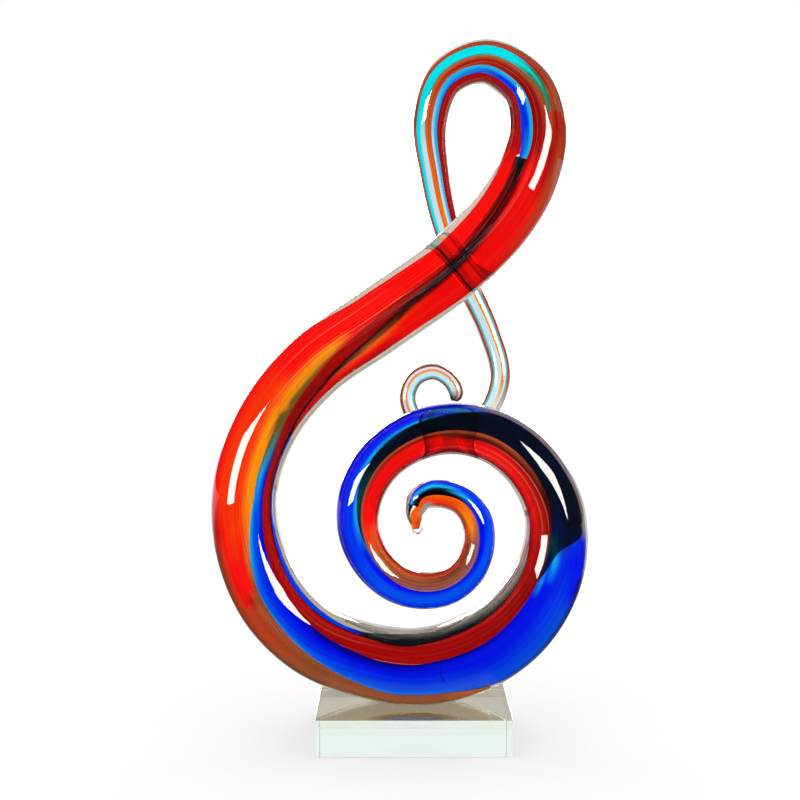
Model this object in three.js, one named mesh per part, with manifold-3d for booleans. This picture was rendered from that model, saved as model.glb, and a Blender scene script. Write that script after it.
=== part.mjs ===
// A glass ornament: a treble clef bent from one tapering rod of cased glass,
// glued by a ground foot to a clear rectangular block.
// Millimetres, +Z up, the viewer on the -Y side, origin at the middle of the block's underside.

import * as THREE from 'three';
import { mergeVertices } from 'three/addons/utils/BufferGeometryUtils.js';
import Module from 'manifold-3d';

// The block that the clef stands on
const BLOCK_WIDTH = 80;
const BLOCK_DEPTH = 60;
const BLOCK_HEIGHT = 15;
const BLOCK_ARRIS = 0.8;

// The cured glue between the block and the foot
const GLUE_THICKNESS = 0.4;

// How far the foot is ground into the round of the rod
const FOOT_GRIND = 2;

// How far the rod's centreline rises from the foot to the top of the loop, and the diameter of
// the rod at its thickest. The route is bent to the one and drawn down from the other.
const CLEF_RISE = 251.3;
const THICKEST_ROD = 33;

// The layers of the rod, as shares of its radius: they thin out together as the hot rod is drawn
const CASING_BORE = 0.66;
const RED_LAYER = 0.12;
const BLUE_LAYER = 0.12;
const CORE_RADIUS = 0.32;
const LAYER_CLEARANCE = 0.03;

// How finely the round forms are cut into flats
const CASING_SIDES = 16;
const BORE_SIDES = 12;
const CORE_SIDES = 8;
const WIDEST_BAND_FLAT = 36;
const LONGEST_STEP = 14;
const SHARPEST_TURN = THREE.MathUtils.degToRad(16);

// The rod's centreline as it was bent by hand, from the hooked tip inside the spiral to the
// end of the small curl: across, up, back from the spiral's plane, diameter
const ROUTE = [
  // hooked tip
  [1.9, 72.8, 0, 5.4],
  [1.1, 79, 0, 8.4],
  [3.6, 86.4, 0, 10.8],
  [11, 89.4, 0, 11.6],
  [20.7, 86.3, 0, 12.2],
  // first turn of the spiral
  [26.6, 78, 0, 13],
  [27.3, 67.5, 0, 13.4],
  [23, 56.8, 0, 14.1],
  [14, 50, 0, 15],
  [2.5, 48.6, 0, 15.6],
  [-8.5, 52.4, 0, 16.4],
  [-18, 61.7, 0, 16.9],
  [-23, 74.5, 0, 17.6],
  // second turn
  [-21.6, 90, 0, 18.6],
  [-13, 104.3, 0, 19.7],
  [2, 114, 0, 20.8],
  [19, 116.6, 0, 21.4],
  [36, 112.2, 0, 22.8],
  [50.5, 99.7, 0, 23.9],
  [59.2, 80.5, 0, 25.4],
  [57.3, 57, 0, 28.2],
  [45, 36.3, 0, 31.6],
  // foot and left sweep
  [26.5, 22.6, 0, 33],
  [4, 16.2, 0, 32.4],
  [-19, 18.7, 0, 31.3],
  [-41.5, 27.2, 0, 30.3],
  [-58.6, 43.7, 0, 29.6],
  [-69, 68, 0, 28.2],
  [-70, 93, 0, 27],
  [-60.5, 119.6, 0, 27],
  // stem
  [-42, 142.5, 0, 27.8],
  [-14.7, 161.8, 0, 28.2],
  [14.9, 182.8, 0, 28],
  [35.7, 203.2, 0, 28],
  // top loop
  [46.5, 221, 0, 26.8],
  [51, 240.5, 0, 24],
  [46.2, 257.5, 0, 21.2],
  [30, 267.5, 0, 18],
  [13.5, 261.3, 1.5, 16],
  [7, 244.5, 4.5, 14.5],
  // tail behind the stem
  [9.1, 222, 11, 12.5],
  [14, 201, 17.5, 11.4],
  [22.2, 179.6, 20.3, 10.1],
  [32.5, 157, 20, 9.1],
  [37.3, 138.5, 18.5, 8.8],
  // curl behind the spiral
  [33, 124.5, 17.6, 8.2],
  [23, 114.3, 17, 7.7],
  [10.5, 111.6, 16.6, 7.3],
  [1.2, 119.5, 16.2, 7.1],
  [-2.3, 129.5, 16, 7],
  [1.2, 137, 16, 6.9],
  [8.6, 139.7, 16, 6.8],
  [14.8, 136.8, 16, 6.7],
  [17.8, 132.2, 15.8, 6.4],
  [17.6, 129.2, 15.5, 5.4],
  [15.8, 127.6, 15.2, 3.8],
];

// The coloured bands that were laid along the rod under its casing. Each row holds a distance
// from the tip, the angle of the band's middle round the rod and half its spread, in degrees.
// Angle 0 faces the viewer; angles grow towards the hollow side of the spiral.
const RED_INNER_BAND = [
  [5, 30, 70],
  [125, 52, 60],
  [205, 35, 105],
  [262, 70, 62],
  [340, 62, 42],
  [430, 66, 36],
  [505, 72, 46],
  [580, 62, 72],
  [655, 30, 62],
  [690, 4, 26],
  [780, -6, 20],
  [850, -22, 16],
  [950, -22, 16],
];
const RED_OUTER_BAND = [
  [322, -118, 22],
  [380, -98, 40],
  [425, -88, 62],
  [505, -64, 82],
  [580, -70, 54],
  [655, -92, 44],
  [740, -104, 32],
  [950, -112, 26],
];
const RED_TAIL_BAND = [
  [672, 104, 30],
  [740, 108, 30],
  [950, 112, 26],
];
const BLUE_SPIRAL_BAND = [
  [9, -62, 52],
  [125, -66, 66],
  [262, -64, 66],
  [345, -46, 46],
  [425, -4, 30],
  [465, 18, 16],
  [490, 28, 10],
];
const BLUE_STEM_BAND = [
  [285, 100, 24],
  [425, 92, 16],
  [505, 58, 14],
  [575, 0, 12],
  [655, -36, 16],
  [740, -50, 24],
  [850, -62, 24],
  [948, -62, 24],
];
const BLUE_TAIL_BAND = [
  [676, 52, 14],
  [740, 48, 28],
  [850, 42, 32],
  [948, 42, 32],
];

const FOOT_LEVEL = BLOCK_HEIGHT + GLUE_THICKNESS;

// Colours of the solids
const CLEAR_GLASS = { color: 0xe6efec, roughness: 0.03, metalness: 0 };
const BLOCK_GLASS = { color: 0xdcebe2, roughness: 0.04, metalness: 0 };
const RED_GLASS = { color: 0xd81408, roughness: 0.05, metalness: 0 };
const BLUE_GLASS = { color: 0x1030e0, roughness: 0.05, metalness: 0 };
const CURED_GLUE = { color: 0xe8e4d4, roughness: 0.2, metalness: 0 };

function meshOf(name, geometry, look) {
  const mesh = new THREE.Mesh(geometry, new THREE.MeshStandardMaterial(look));
  mesh.name = name;
  return mesh;
}

// The foot is at the lowest row of the route, and the rest rises from its centre. What lies
// behind the spiral clears it by the thickness of the rod.
const heights = ROUTE.map((row) => row[1]);
const foot = ROUTE[heights.indexOf(Math.min(...heights))];
const rise = CLEF_RISE / (Math.max(...heights) - foot[1]);
const girth = THICKEST_ROD / Math.max(...ROUTE.map((row) => row[3]));
const footCentre = FOOT_LEVEL - FOOT_GRIND + (foot[3] / 2) * girth;

// The rod's route as a curve, with the diameter carried along it
const centreline = new THREE.CatmullRomCurve3(ROUTE.map(([across, up, back]) => (
  new THREE.Vector3(across * rise, back * girth, footCentre + (up - foot[1]) * rise)
)));
const diameters = new THREE.SplineCurve(
  ROUTE.map((row, i) => new THREE.Vector2(i, row[3] * girth)),
);

// Stations along the rod, close together where it bends sharply. Each has its distance from the
// tip, its centre, its radius and two directions across the rod: front faces the viewer.
function rodStations() {
  const samples = 40 * (ROUTE.length - 1);
  const backward = new THREE.Vector3(0, 1, 0);
  const stations = [];
  let distance = 0;
  let effort = 0;
  let lastCentre = centreline.getPoint(0);
  let lastTangent = centreline.getTangent(0);
  for (let i = 0; i <= samples; i++) {
    const share = i / samples;
    const centre = centreline.getPoint(share);
    const tangent = centreline.getTangent(share);
    const step = centre.distanceTo(lastCentre);
    distance += step;
    effort += Math.max(step / LONGEST_STEP, tangent.angleTo(lastTangent) / SHARPEST_TURN);
    if (i === 0 || i === samples || effort >= 1) {
      const side = new THREE.Vector3().crossVectors(backward, tangent).normalize();
      const front = new THREE.Vector3().crossVectors(side, tangent);
      const radius = diameters.getPoint(share).y / 2;
      stations.push({ distance, centre, radius, front, side });
      effort = 0;
    }
    lastCentre = centre;
    lastTangent = tangent;
  }
  return stations;
}

const STATIONS = rodStations();

// The point on a station's section at an angle in radians and a share of the rod's radius
function sectionPoint({ centre, radius, front, side }, angle, share) {
  return centre.clone()
    .addScaledVector(front, radius * share * Math.cos(angle))
    .addScaledVector(side, radius * share * Math.sin(angle));
}

// A closed ring of points round the whole rod
function ring(station, sides, share) {
  return Array.from({ length: sides }, (_, i) => (
    sectionPoint(station, (2 * Math.PI * i) / sides, share)
  ));
}

// Joins rings of equal count into a skin. A skin of one run of rings is capped at both ends;
// an inner run of rings turns it into a pipe whose walls are closed by its end faces.
function skin(outerRings, innerRings) {
  const positions = [];
  const faces = [];
  const place = (rings) => rings.map((points) => points.map((point) => {
    positions.push(point.x, point.y, point.z);
    return positions.length / 3 - 1;
  }));
  const wrap = (rings, inward) => {
    for (let i = 0; i + 1 < rings.length; i++) {
      const count = rings[i].length;
      for (let j = 0; j < count; j++) {
        const a = rings[i][j];
        const b = rings[i][(j + 1) % count];
        const c = rings[i + 1][(j + 1) % count];
        const d = rings[i + 1][j];
        if (inward) faces.push(a, c, b, a, d, c);
        else faces.push(a, b, c, a, c, d);
      }
    }
  };
  const outer = place(outerRings);
  wrap(outer, false);
  if (innerRings) {
    const inner = place(innerRings);
    wrap(inner, true);
    closeWall(faces, outer[0], inner[0], false);
    closeWall(faces, outer.at(-1), inner.at(-1), true);
  } else {
    capEnd(faces, outer[0], false);
    capEnd(faces, outer.at(-1), true);
  }
  const geometry = new THREE.BufferGeometry();
  geometry.setAttribute('position', new THREE.Float32BufferAttribute(positions, 3));
  geometry.setIndex(faces);
  return geometry;
}

// An end face, laid as a strip between the two halves of its ring
function capEnd(faces, points, last) {
  const count = points.length;
  for (let j = 0; j < count / 2 - 1; j++) {
    const [a, b, c, d] = [j, j + 1, count - 2 - j, count - 1 - j].map((k) => points[k]);
    if (last) faces.push(a, b, c, a, c, d);
    else faces.push(a, c, b, a, d, c);
  }
}

// The flat wall between an outer and an inner ring that may differ in their counts
function closeWall(faces, outer, inner, last) {
  let i = 0;
  let j = 0;
  while (i < outer.length || j < inner.length) {
    const a = outer[i % outer.length];
    const b = inner[j % inner.length];
    let triangle;
    if ((i + 1) * inner.length <= (j + 1) * outer.length) {
      triangle = [a, outer[(i + 1) % outer.length], b];
      i++;
    } else {
      triangle = [a, inner[(j + 1) % inner.length], b];
      j++;
    }
    if (!last) triangle.reverse();
    faces.push(...triangle);
  }
}

const wasm = await Module();
wasm.setup();

function solidOf(geometry) {
  const bare = geometry.clone();
  bare.deleteAttribute('normal');
  bare.deleteAttribute('uv');
  const merged = mergeVertices(bare);
  return new wasm.Manifold(new wasm.Mesh({
    numProp: 3,
    vertProperties: new Float32Array(merged.attributes.position.array),
    triVerts: new Uint32Array(merged.index.array),
  }));
}

function geometryOf(solid) {
  const { vertProperties, triVerts } = solid.getMesh();
  const geometry = new THREE.BufferGeometry();
  geometry.setAttribute('position', new THREE.BufferAttribute(vertProperties, 3));
  geometry.setIndex(new THREE.BufferAttribute(triVerts, 1));
  geometry.computeVertexNormals();
  return geometry;
}

// A level slab under the clef, as wide and deep as the block, between two heights
function slab(bottom, top) {
  const box = new THREE.BoxGeometry(BLOCK_WIDTH, BLOCK_DEPTH, top - bottom);
  box.translate(0, 0, (bottom + top) / 2);
  return solidOf(box);
}

// The clear outer glass, bored for the colours and ground flat at the foot
function clearCasing() {
  const outer = STATIONS.map((station) => ring(station, CASING_SIDES, 1));
  const bore = STATIONS.map((station) => ring(station, BORE_SIDES, CASING_BORE));
  const ground = solidOf(skin(outer, bore)).subtract(slab(0, FOOT_LEVEL));
  return geometryOf(ground);
}

// The clear glass that the colours were laid on
function clearCore() {
  return skin(STATIONS.map((station) => ring(station, CORE_SIDES, CORE_RADIUS)));
}

// The value of a band's column at a distance, eased between its rows
function alongBand(rows, column, distance) {
  const next = rows.findIndex((row) => row[0] * rise >= distance);
  if (next === -1) return rows.at(-1)[column];
  if (next === 0) return rows[0][column];
  const [from, to] = [rows[next - 1], rows[next]];
  const share = THREE.MathUtils.smoothstep(distance, from[0] * rise, to[0] * rise);
  return THREE.MathUtils.lerp(from[column], to[column], share);
}

// A coloured band: part of a ring between two shares of the rod's radius
function band(rows, outerShare, thickness) {
  const innerShare = outerShare - thickness;
  const first = rows[0][0] * rise;
  const last = rows.at(-1)[0] * rise;
  const covered = STATIONS.filter(({ distance }) => distance >= first && distance <= last);
  const widest = Math.max(...rows.map((row) => 2 * row[2]));
  const flats = Math.ceil(widest / WIDEST_BAND_FLAT);
  const rings = covered.map((station) => {
    const middle = THREE.MathUtils.degToRad(alongBand(rows, 1, station.distance));
    const spread = THREE.MathUtils.degToRad(alongBand(rows, 2, station.distance));
    const points = [];
    for (let i = 0; i <= flats; i++) {
      const angle = middle - spread + (2 * spread * i) / flats;
      points.push(sectionPoint(station, angle, outerShare));
    }
    for (let i = flats; i >= 0; i--) {
      const angle = middle - spread + (2 * spread * i) / flats;
      points.push(sectionPoint(station, angle, innerShare));
    }
    return points;
  });
  return skin(rings);
}

// A rectangular block with its twelve edges ground to a small arris
function clearBlock() {
  const halfWidth = BLOCK_WIDTH / 2 - BLOCK_ARRIS;
  const halfDepth = BLOCK_DEPTH / 2 - BLOCK_ARRIS;
  const outline = new THREE.Shape([
    new THREE.Vector2(-halfWidth, -halfDepth),
    new THREE.Vector2(halfWidth, -halfDepth),
    new THREE.Vector2(halfWidth, halfDepth),
    new THREE.Vector2(-halfWidth, halfDepth),
  ]);
  const block = new THREE.ExtrudeGeometry(outline, {
    depth: BLOCK_HEIGHT - 2 * BLOCK_ARRIS,
    bevelSize: BLOCK_ARRIS,
    bevelThickness: BLOCK_ARRIS,
    bevelSegments: 1,
  });
  block.translate(0, 0, BLOCK_ARRIS);
  return block;
}

// The glue fills the sliver between the block and the ground foot
function glueFilm() {
  const uncut = skin(STATIONS.map((station) => ring(station, CASING_SIDES, 1)));
  return geometryOf(solidOf(uncut).intersect(slab(BLOCK_HEIGHT, FOOT_LEVEL)));
}

const redTop = CASING_BORE - LAYER_CLEARANCE;
const blueTop = redTop - RED_LAYER - LAYER_CLEARANCE;

const clef = new THREE.Group();
clef.add(
  meshOf('clear_block', clearBlock(), BLOCK_GLASS),
  meshOf('glue_film', glueFilm(), CURED_GLUE),
  meshOf('clear_casing', clearCasing(), CLEAR_GLASS),
  meshOf('clear_core', clearCore(), CLEAR_GLASS),
  meshOf('red_inner_band', band(RED_INNER_BAND, redTop, RED_LAYER), RED_GLASS),
  meshOf('red_outer_band', band(RED_OUTER_BAND, redTop, RED_LAYER), RED_GLASS),
  meshOf('red_tail_band', band(RED_TAIL_BAND, redTop, RED_LAYER), RED_GLASS),
  meshOf('blue_spiral_band', band(BLUE_SPIRAL_BAND, blueTop, BLUE_LAYER), BLUE_GLASS),
  meshOf('blue_stem_band', band(BLUE_STEM_BAND, blueTop, BLUE_LAYER), BLUE_GLASS),
  meshOf('blue_tail_band', band(BLUE_TAIL_BAND, blueTop, BLUE_LAYER), BLUE_GLASS),
);

export default clef;
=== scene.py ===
import math

import bmesh
import bpy
import numpy as np
from mathutils import Matrix, Vector


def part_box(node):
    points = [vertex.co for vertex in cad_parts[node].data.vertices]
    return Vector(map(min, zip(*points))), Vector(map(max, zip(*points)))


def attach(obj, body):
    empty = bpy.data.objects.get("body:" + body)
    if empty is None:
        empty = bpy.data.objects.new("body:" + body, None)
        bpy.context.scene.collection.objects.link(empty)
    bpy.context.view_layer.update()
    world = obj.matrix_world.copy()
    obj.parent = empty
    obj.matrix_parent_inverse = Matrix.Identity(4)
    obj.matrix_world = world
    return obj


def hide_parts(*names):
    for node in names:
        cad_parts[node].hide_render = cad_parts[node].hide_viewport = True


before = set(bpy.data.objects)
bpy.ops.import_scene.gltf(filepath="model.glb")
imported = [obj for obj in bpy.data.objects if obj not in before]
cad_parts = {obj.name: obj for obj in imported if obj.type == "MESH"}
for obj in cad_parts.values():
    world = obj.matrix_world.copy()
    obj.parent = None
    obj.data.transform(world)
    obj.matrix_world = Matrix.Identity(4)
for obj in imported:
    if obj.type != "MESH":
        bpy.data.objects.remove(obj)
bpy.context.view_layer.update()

# The ornament is seen from straight in front, from some 610 mm away and a little above the middle
# of the clef, looking slightly down. The top of its block just shows.
VIEWPOINT = Vector((-0.0056, -0.6098, 0.1834))
LOOKING_DOWN = math.radians(3.88)
FOCAL_LENGTH = 66.1
FILM_WIDTH = 36
FARTHEST_SEEN = 50

camera = bpy.data.objects.new("camera", bpy.data.cameras.new("camera"))
camera.location = VIEWPOINT
camera.rotation_euler = (math.pi / 2 - LOOKING_DOWN, 0, 0)
camera.data.lens = FOCAL_LENGTH
camera.data.sensor_width = FILM_WIDTH
camera.data.clip_end = FARTHEST_SEEN
bpy.context.scene.collection.objects.link(camera)
bpy.context.scene.camera = camera
bpy.context.scene.view_settings.view_transform = "Standard"

# White paper hangs behind the ornament and lies under it. Under the block, a tan patch painted on the
# table is the ornament's painted shadow, seen only through the block. The room is dim on the viewer's
# side, so that just the lamps show in the polish.
WHITE_PAPER = (1.0, 1.0, 1.0, 1)
SHADED_PAPER = (0.52, 0.47, 0.40, 1)
SHADED_UNTIL = 0.5
WHITE_FROM = 0.86
DIM_ROOM = (0.035, 0.036, 0.04, 1)
PAPER_BEHIND_FROM = 0.82
PAPER_BEHIND_TO = 0.93
TABLE_PAPER = (0.82, 0.82, 0.82, 1)
TABLE_IN_GLASS = (0.97, 0.96, 0.94, 1)
SHADOW_UNDER_BLOCK = (0.46, 0.39, 0.17, 1)
SHADOW_UNDER_BLOCK_DARKEST = (0.34, 0.28, 0.12, 1)
SHADOW_PATCH_GRAIN = 700
SHADOW_PATCH_DARK_BELOW = 0.35
SHADOW_PATCH_PALE_ABOVE = 0.65
SHADOW_PATCH_HALF_WIDTH = 0.05
SHADOW_PATCH_HALF_DEPTH = 0.0305
SHADOW_PATCH_SEEN_WITHIN = 2.5
DIM_TABLE = (0.05, 0.05, 0.05, 1)
DIM_TABLE_UNTIL = 0.12
PALE_TABLE_FROM = 0.5
TABLE_GLOW = 0.24
TABLE_GLOW_IN_GLASS = 0.17
TABLE_SIZE = 8.0
TABLE_GAP = 0.0002
LAMP_COLOUR = (1.0, 0.97, 0.88)
LAMP_DISTANCE = 0.8
LAMP_AIM = Vector((0, 0, 0.15))
# bearing from the viewer's side, rise, width, height and lean in degrees, and brightness
LAMPS = [
    (-46, 1.5, 24, 18, 0, 25),
    (39, 12, 22, 23, -26, 25),
    (162, 12, 18, 28, 8, 20),
    (-160, 12, 18, 28, -8, 20),
]
MOST_GLASS_CROSSINGS = 64


def feed(tree, socket, value):
    """Give a socket a plain value, or link another socket to it."""
    if isinstance(value, bpy.types.NodeSocket):
        tree.links.new(value, socket)
    else:
        socket.default_value = value


def reckon(tree, operation, first, second):
    node = tree.nodes.new("ShaderNodeMath")
    node.operation = operation
    feed(tree, node.inputs[0], first)
    feed(tree, node.inputs[1], second)
    return node.outputs[0]


def tint(tree, share, first, second, way="MIX"):
    node = tree.nodes.new("ShaderNodeMix")
    node.data_type = "RGBA"
    node.blend_type = way
    feed(tree, node.inputs["Factor"], share)
    feed(tree, node.inputs["A"], first)
    feed(tree, node.inputs["B"], second)
    return node.outputs["Result"]


def ease(tree, value, start, end):
    """0 before the start, 1 after the end, and a smooth rise between."""
    node = tree.nodes.new("ShaderNodeMapRange")
    node.interpolation_type = "SMOOTHSTEP"
    feed(tree, node.inputs["Value"], value)
    feed(tree, node.inputs["From Min"], start)
    feed(tree, node.inputs["From Max"], end)
    return node.outputs["Result"]


def seen_straight(tree, rays):
    """1 for what the camera, matt paper or glass looks at, and 0 for what a polish reflects."""
    direct = reckon(tree, "MAXIMUM", rays.outputs["Is Camera Ray"], rays.outputs["Is Diffuse Ray"])
    return reckon(tree, "MAXIMUM", direct, rays.outputs["Is Transmission Ray"])


world = bpy.data.worlds.new("studio")
world.use_nodes = True
bpy.context.scene.world = world
tree = world.node_tree
tree.nodes.clear()
rays = tree.nodes.new("ShaderNodeLightPath")
looking = tree.nodes.new("ShaderNodeTexCoord")
axes = tree.nodes.new("ShaderNodeSeparateXYZ")
tree.links.new(looking.outputs["Generated"], axes.inputs[0])
behind = ease(tree, axes.outputs["Y"], PAPER_BEHIND_FROM, PAPER_BEHIND_TO)
paper_share = reckon(tree, "MAXIMUM", seen_straight(tree, rays), behind)
beside = tint(tree, rays.outputs["Is Transmission Ray"], WHITE_PAPER, SHADED_PAPER)
paper_tone = tint(tree, ease(tree, axes.outputs["Y"], SHADED_UNTIL, WHITE_FROM), beside, WHITE_PAPER)
backdrop = tree.nodes.new("ShaderNodeBackground")
tree.links.new(tint(tree, paper_share, DIM_ROOM, paper_tone), backdrop.inputs["Color"])
world_output = tree.nodes.new("ShaderNodeOutputWorld")
tree.links.new(backdrop.outputs[0], world_output.inputs["Surface"])

for bearing, rise, width, height, lean, brightness in LAMPS:
    lamp = bpy.data.lights.new("soft_lamp", "AREA")
    lamp.shape = "RECTANGLE"
    lamp.size = 2 * LAMP_DISTANCE * math.tan(math.radians(width / 2))
    lamp.size_y = 2 * LAMP_DISTANCE * math.tan(math.radians(height / 2))
    lamp.energy = brightness * math.pi * lamp.size * lamp.size_y
    lamp.color = LAMP_COLOUR
    turn = math.radians(bearing)
    lift = math.radians(rise)
    away = Vector((math.sin(turn) * math.cos(lift), -math.cos(turn) * math.cos(lift), math.sin(lift)))
    stand = bpy.data.objects.new("soft_lamp", lamp)
    stand.location = LAMP_AIM + LAMP_DISTANCE * away
    stand.rotation_euler = (-away).to_track_quat("-Z", "Y").to_euler()
    stand.rotation_euler.rotate_axis("Z", math.radians(lean))
    stand.visible_camera = False
    stand.visible_diffuse = False
    stand.visible_transmission = False
    bpy.context.scene.collection.objects.link(stand)

half = TABLE_SIZE / 2
table_corners = [(-half, -half), (half, -half), (half, half), (-half, half)]
table_mesh = bpy.data.meshes.new("paper_table")
table_mesh.from_pydata([(x, y, -TABLE_GAP) for x, y in table_corners], [], [(0, 1, 2, 3)])
paper = bpy.data.materials.new("table_paper")
paper.use_nodes = True
tree = paper.node_tree
tree.nodes.clear()
rays = tree.nodes.new("ShaderNodeLightPath")
place = tree.nodes.new("ShaderNodeNewGeometry")
axes = tree.nodes.new("ShaderNodeSeparateXYZ")
tree.links.new(place.outputs["Position"], axes.inputs[0])
behind = ease(tree, axes.outputs["Y"], DIM_TABLE_UNTIL, PALE_TABLE_FROM)
in_polish = tint(tree, behind, DIM_TABLE, TABLE_PAPER)
# Painted shadow: a mottled tan patch under the block stands in for the ornament's shade on the table.
in_shadow_across = reckon(tree, "COMPARE", axes.outputs["X"], 0.0)
in_shadow_across.node.inputs[2].default_value = SHADOW_PATCH_HALF_WIDTH
in_shadow_back = reckon(tree, "COMPARE", axes.outputs["Y"], 0.0)
in_shadow_back.node.inputs[2].default_value = SHADOW_PATCH_HALF_DEPTH
in_shadow_patch = reckon(tree, "MULTIPLY", in_shadow_across, in_shadow_back)
through_block = reckon(tree, "LESS_THAN", rays.outputs["Transmission Depth"], SHADOW_PATCH_SEEN_WITHIN)
in_shadow_patch = reckon(tree, "MULTIPLY", in_shadow_patch, through_block)
grain = tree.nodes.new("ShaderNodeTexNoise")
grain.inputs["Scale"].default_value = SHADOW_PATCH_GRAIN
tree.links.new(place.outputs["Position"], grain.inputs["Vector"])
shadow_mottle = ease(tree, grain.outputs["Fac"], SHADOW_PATCH_DARK_BELOW, SHADOW_PATCH_PALE_ABOVE)
shadow_patch = tint(tree, shadow_mottle, SHADOW_UNDER_BLOCK_DARKEST, SHADOW_UNDER_BLOCK)
in_glass = tint(tree, in_shadow_patch, TABLE_IN_GLASS, shadow_patch)
tone = tint(tree, seen_straight(tree, rays), in_polish, in_glass)
tone = tint(tree, rays.outputs["Is Camera Ray"], tone, TABLE_PAPER)
matt = tree.nodes.new("ShaderNodeBsdfDiffuse")
tree.links.new(tone, matt.inputs["Color"])
glow = tree.nodes.new("ShaderNodeEmission")
direct_glow = reckon(tree, "MULTIPLY", rays.outputs["Is Camera Ray"], TABLE_GLOW)
glow_in_glass = reckon(tree, "MULTIPLY", rays.outputs["Is Transmission Ray"], TABLE_GLOW_IN_GLASS)
tree.links.new(tint(tree, rays.outputs["Is Camera Ray"], in_glass, WHITE_PAPER), glow.inputs["Color"])
tree.links.new(reckon(tree, "ADD", direct_glow, glow_in_glass), glow.inputs["Strength"])
both = tree.nodes.new("ShaderNodeAddShader")
tree.links.new(matt.outputs[0], both.inputs[0])
tree.links.new(glow.outputs[0], both.inputs[1])
paper_output = tree.nodes.new("ShaderNodeOutputMaterial")
tree.links.new(both.outputs[0], paper_output.inputs["Surface"])
table_mesh.materials.append(paper)
table = bpy.data.objects.new("paper_table", table_mesh)
bpy.context.scene.collection.objects.link(table)

bpy.context.scene.cycles.max_bounces = MOST_GLASS_CROSSINGS
bpy.context.scene.cycles.transmission_bounces = MOST_GLASS_CROSSINGS
bpy.context.scene.cycles.transparent_max_bounces = MOST_GLASS_CROSSINGS

# The block is sawn from clear glass with a faint green cast and polished on all six sides. The
# edges, but for those it stands on, are ground to small arrises that catch the light as thin lines.
ARRIS_WIDTH = 0.00016
ARRIS_FLATS = 3
BLOCK_BODY = (0.63, 0.82, 0.72, 1)
BLOCK_BODY_DEPTH = 6.0
BLOCK_WAVES = 25
BLOCK_WAVE_HEIGHT = 0.00002
GLASS_BENDS_LIGHT = 1.5
COLOURLESS = (1.0, 1.0, 1.0, 1)


def polishing_waves():
    """Node group: the slow swells that polishing leaves on glass."""
    group = bpy.data.node_groups.new("polishing_waves", "ShaderNodeTree")
    group.interface.new_socket("Waves per Metre", in_out="INPUT", socket_type="NodeSocketFloat")
    group.interface.new_socket("Height", in_out="OUTPUT", socket_type="NodeSocketFloat")
    given = group.nodes.new("NodeGroupInput")
    result = group.nodes.new("NodeGroupOutput")
    place = group.nodes.new("ShaderNodeTexCoord")
    swell = group.nodes.new("ShaderNodeTexNoise")
    swell.inputs["Detail"].default_value = 2.0
    group.links.new(place.outputs["Object"], swell.inputs["Vector"])
    group.links.new(given.outputs["Waves per Metre"], swell.inputs["Scale"])
    group.links.new(swell.outputs["Fac"], result.inputs["Height"])
    return group


WAVES = polishing_waves()


def clear_glass(name, body, body_depth, waves, wave_height):
    material = bpy.data.materials.new(name)
    material.use_nodes = True
    tree = material.node_tree
    glass = tree.nodes["Principled BSDF"]
    glass.inputs["Base Color"].default_value = COLOURLESS
    glass.inputs["Roughness"].default_value = 0.0
    glass.inputs["IOR"].default_value = GLASS_BENDS_LIGHT
    glass.inputs["Transmission Weight"].default_value = 1.0
    swell = tree.nodes.new("ShaderNodeGroup")
    swell.node_tree = WAVES
    swell.inputs["Waves per Metre"].default_value = waves
    relief = tree.nodes.new("ShaderNodeBump")
    relief.inputs["Distance"].default_value = wave_height
    tree.links.new(swell.outputs["Height"], relief.inputs["Height"])
    tree.links.new(relief.outputs["Normal"], glass.inputs["Normal"])
    cast = tree.nodes.new("ShaderNodeVolumeAbsorption")
    cast.inputs["Color"].default_value = body
    cast.inputs["Density"].default_value = body_depth
    tree.links.new(cast.outputs[0], tree.nodes["Material Output"].inputs["Volume"])
    return material


def show(name, mesh, material, slot, *cad_nodes):
    piece = bpy.data.objects.new(name, mesh)
    bpy.context.scene.collection.objects.link(piece)
    mesh.materials.append(material)
    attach(piece, "root")
    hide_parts(*cad_nodes)
    return piece


low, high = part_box("clear_block")
block_shape = bmesh.new()
block_place = Matrix.Translation((low + high) / 2) @ Matrix.Diagonal((high - low).to_4d())
bmesh.ops.create_cube(block_shape, size=1, matrix=block_place)
ground_edges = [edge for edge in block_shape.edges if max(v.co.z for v in edge.verts) > low.z + ARRIS_WIDTH]
bmesh.ops.bevel(
    block_shape, geom=ground_edges, offset=ARRIS_WIDTH, segments=ARRIS_FLATS, profile=0.5, affect="EDGES")
block_mesh = bpy.data.meshes.new("glass_block")
block_shape.to_mesh(block_mesh)
block_shape.free()
BLOCK_GLASS = clear_glass("block_glass", BLOCK_BODY, BLOCK_BODY_DEPTH, BLOCK_WAVES, BLOCK_WAVE_HEIGHT)
show("glass_block", block_mesh, BLOCK_GLASS, "block_glass", "clear_block")

# A thin film of clear glue, cured hard under light, holds the ground foot of the rod on the block.
# Its solid is kept as it is, with a slightly yellow clear glue in place of the plain grey.
GLUE_BODY = (0.75, 0.7, 0.5, 1)
GLUE_BODY_DEPTH = 40.0
GLUE_WAVES = 220
GLUE_WAVE_HEIGHT = 0.00002

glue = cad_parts["glue_film"]
glue.data.materials.clear()
GLUE_GLASS = clear_glass("cured_glue", GLUE_BODY, GLUE_BODY_DEPTH, GLUE_WAVES, GLUE_WAVE_HEIGHT)
glue.data.materials.append(GLUE_GLASS)

# The rod was drawn by hand from a cased gather: coloured strips laid on a clear core and dipped in
# clear glass. It was bent hot into the clef, tip first, and its foot was ground flat for the block.
MM = 0.001
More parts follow.
